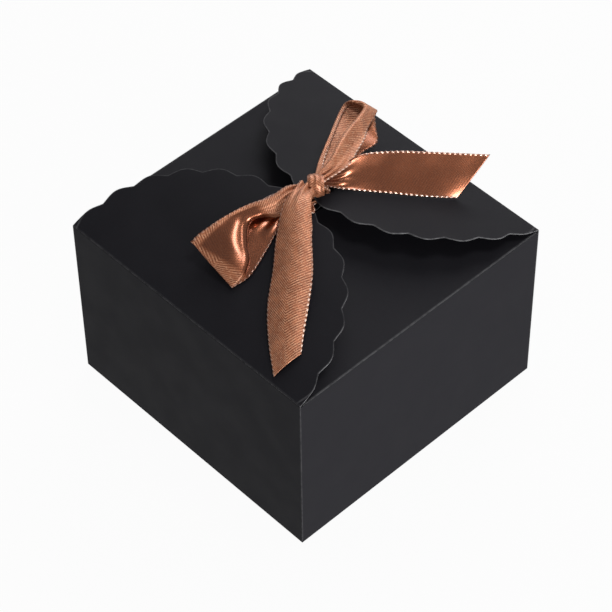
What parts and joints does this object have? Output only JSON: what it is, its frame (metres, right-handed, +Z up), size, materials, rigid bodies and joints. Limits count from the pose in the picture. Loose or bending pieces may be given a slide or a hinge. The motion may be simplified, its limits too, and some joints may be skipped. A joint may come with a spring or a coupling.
{
  "type": "gift box",
  "caption": "Square card gift box with four scalloped lid flaps folding to the centre, snap-lock bottom and a satin ribbon bow on top.",
  "frame": {"origin": "centre of the box's base, on the surface it stands on", "axes": "+Z up, +X towards the right wall, -Y towards the front wall that the bow's longer loop leans over"},
  "size_m": [0.147, 0.1506, 0.1262],
  "materials": {
    "card": "matte black card",
    "ribbon": "copper satin ribbon",
    "glue": "dried paper glue"
  },
  "bodies": {
    "box": {"front_wall": "card", "back_wall": "card", "left_wall": "card", "right_wall": "card", "glue_tab": "card", "seam_glue": "glue", "bottom_slot_flap": "card", "bottom_left_flap": "card", "bottom_right_flap": "card", "bottom_lock_flap": "card"},
    "front_flap": {"front_flap": "card"},
    "back_flap": {"back_flap": "card"},
    "left_flap": {"left_flap": "card"},
    "right_flap": {"right_flap": "card"},
    "bow": {"ribbon_knot": "ribbon", "ribbon_front_loop": "ribbon", "ribbon_back_loop": "ribbon", "ribbon_front_tail": "ribbon", "ribbon_right_tail": "ribbon", "ribbon_strap": "ribbon"}
  },
  "joints": [
    {"name": "back_flap_fold", "type": "hinge", "parent": "box", "child": "back_flap", "pos_m": [0, 0.07325, 0.09425], "axis": [-1, 0, 0], "range_deg": [0, 120], "deforming": ["ribbon_strap"]},
    {"name": "front_flap_fold", "type": "hinge", "parent": "box", "child": "front_flap", "pos_m": [0, -0.07325, 0.09425], "axis": [1, 0, 0], "range_deg": [0, 120]},
    {"name": "left_flap_fold", "type": "hinge", "parent": "box", "child": "left_flap", "pos_m": [-0.07325, 0, 0.09365], "axis": [0, -1, 0], "range_deg": [0, 90]},
    {"name": "right_flap_fold", "type": "hinge", "parent": "box", "child": "right_flap", "pos_m": [0.07325, 0, 0.09365], "axis": [0, 1, 0], "range_deg": [0, 90]},
    {"name": "bow_lift", "type": "slide", "parent": "back_flap", "child": "bow", "axis": [0, 0, 1], "range_m": [0, 0.06]}
  ],
  "couplings": [
    {"joint": "front_flap_fold", "follows": "back_flap_fold", "ratio": 1},
    {"joint": "left_flap_fold", "follows": "back_flap_fold", "ratio": 0.75},
    {"joint": "right_flap_fold", "follows": "back_flap_fold", "ratio": 0.75}
  ]
}
